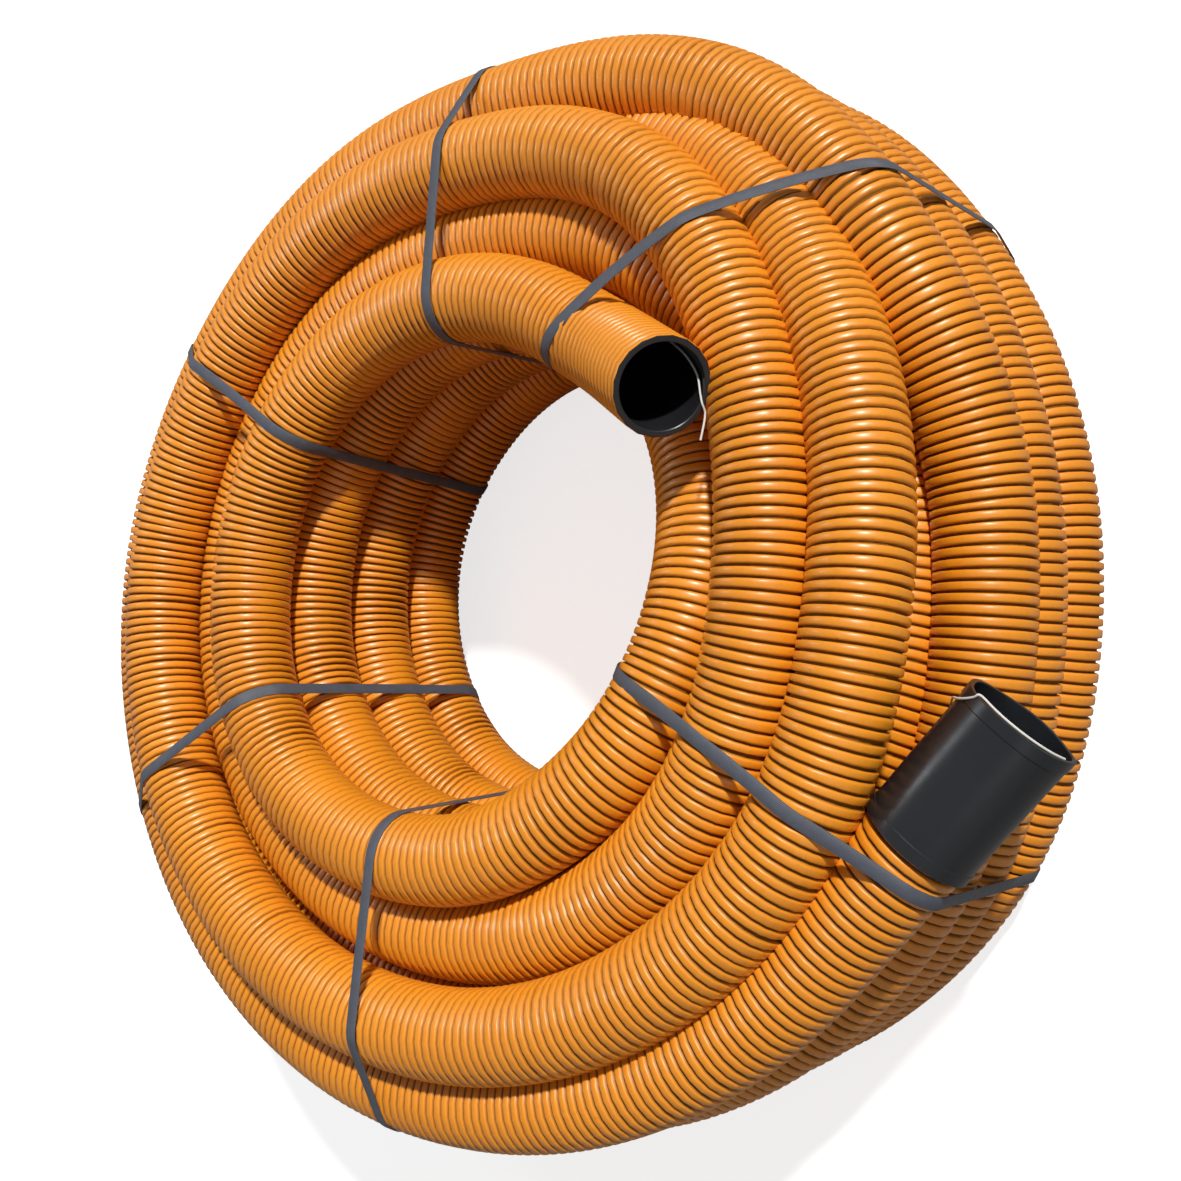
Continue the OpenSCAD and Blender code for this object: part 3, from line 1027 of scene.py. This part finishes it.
class COIL_OT_stage(bpy.types.Operator):
    """Sets the pale floor, the backdrop and the soft studio light"""

    bl_idname = "duct_coil.stage"
    bl_label = "Stage"

    def execute(self, context):
        stage = context.scene.duct_coil.stage
        scene = context.scene
        scene.view_settings.view_transform = "Standard"
        mesh = bpy.data.meshes.new("floor")
        corners = [(x * FLOOR_REACH, y * FLOOR_REACH, 0) for x, y in ((-1, -1), (1, -1), (1, 1), (-1, 1))]
        mesh.from_pydata(corners, [], [(0, 1, 2, 3)])
        mesh.materials.append(floor_paint(stage))
        floor = bpy.data.objects.new("floor", mesh)
        scene.collection.objects.link(floor)

        world = bpy.data.worlds.new("studio")
        scene.world = world
        world.use_nodes = True
        n = Nodes(world.node_tree)
        seen = n.add("ShaderNodeLightPath", output="Is Camera Ray")
        mirrored = n.add("ShaderNodeLightPath", output="Is Glossy Ray")
        through = n.add("ShaderNodeLightPath", output="Is Transmission Ray")
        strength = (seen + through + mirrored * 0.27).clamped() * (1 - stage.sky) + stage.sky
        join(world.node_tree, strength, world.node_tree.nodes["Background"].inputs["Strength"])
        world.node_tree.nodes["Background"].inputs["Color"].default_value = (1, 1, 1, 1)

        def lamp(name, kind, place, aim, energy, size, colour):
            data = bpy.data.lights.new(name, kind)
            data.energy = energy
            data.color = colour
            if kind == "SUN":
                data.angle = size
            else:
                data.shape = "DISK"
                data.size = size
            lamp_object = bpy.data.objects.new(name, data)
            lamp_object.location = place
            lamp_object.rotation_euler = (Vector(aim) - Vector(place)).to_track_quat("-Z", "Y").to_euler()
            scene.collection.objects.link(lamp_object)

        lamp("key", "SUN", (0.42, 0.58, 0.70), (0, 0, 0), stage.key, math.radians(4), (1.0, 0.975, 0.93))
        lamp("fill", "AREA", (2.4, -1.2, 2.2), (0, 0, 0.3), 5, 1.6, (0.95, 0.97, 1.0))
        lamp("side", "AREA", (-1.6, 0.7, 1.9), (0.5, -0.2, 0.3), 5.5, 0.5, (0.9, 0.95, 1.0))
        return {"FINISHED"}


class COIL_PT_pieces(bpy.types.Panel):
    bl_label = "Duct coil"
    bl_idname = "COIL_PT_pieces"
    bl_space_type = "VIEW_3D"
    bl_region_type = "UI"
    bl_category = "Duct coil"

    def draw(self, context):
        coil = context.scene.duct_coil
        for title, group, operators in (
            ("Duct", coil.duct, (COIL_OT_turns, COIL_OT_liners)),
            ("Winding", coil.winding, ()),
            ("Coupler", coil.coupler, (COIL_OT_coupler,)),
            ("Straps", coil.strap, (COIL_OT_straps,)),
            ("Draw cord", coil.cord, (COIL_OT_draw_cords,)),
            ("Stage", coil.stage, (COIL_OT_camera, COIL_OT_stage)),
        ):
            box = self.layout.box()
            box.label(text=title)
            for name in group.__annotations__:
                box.prop(group, name)
            for operator in operators:
                box.operator(operator.bl_idname)


CLASSES = (
    DuctSettings, WindingSettings, CouplerSettings, StrapSettings, CordSettings, StageSettings, CoilSettings,
    COIL_OT_camera, COIL_OT_draw_cords, COIL_OT_turns, COIL_OT_liners, COIL_OT_coupler, COIL_OT_straps, COIL_OT_stage,
    COIL_PT_pieces,
)


def register():
    for cls in CLASSES:
        bpy.utils.register_class(cls)
    bpy.types.Scene.duct_coil = bpy.props.PointerProperty(type=CoilSettings)


def unregister():
    del bpy.types.Scene.duct_coil
    for cls in reversed(CLASSES):
        bpy.utils.unregister_class(cls)


def main():
    register()
    bpy.ops.duct_coil.camera()
    bpy.ops.duct_coil.draw_cords()
    bpy.ops.duct_coil.turns()
    bpy.ops.duct_coil.liners()
    bpy.ops.duct_coil.coupler()
    bpy.ops.duct_coil.straps()
    bpy.ops.duct_coil.stage()


if __name__ == "__main__":
    main()
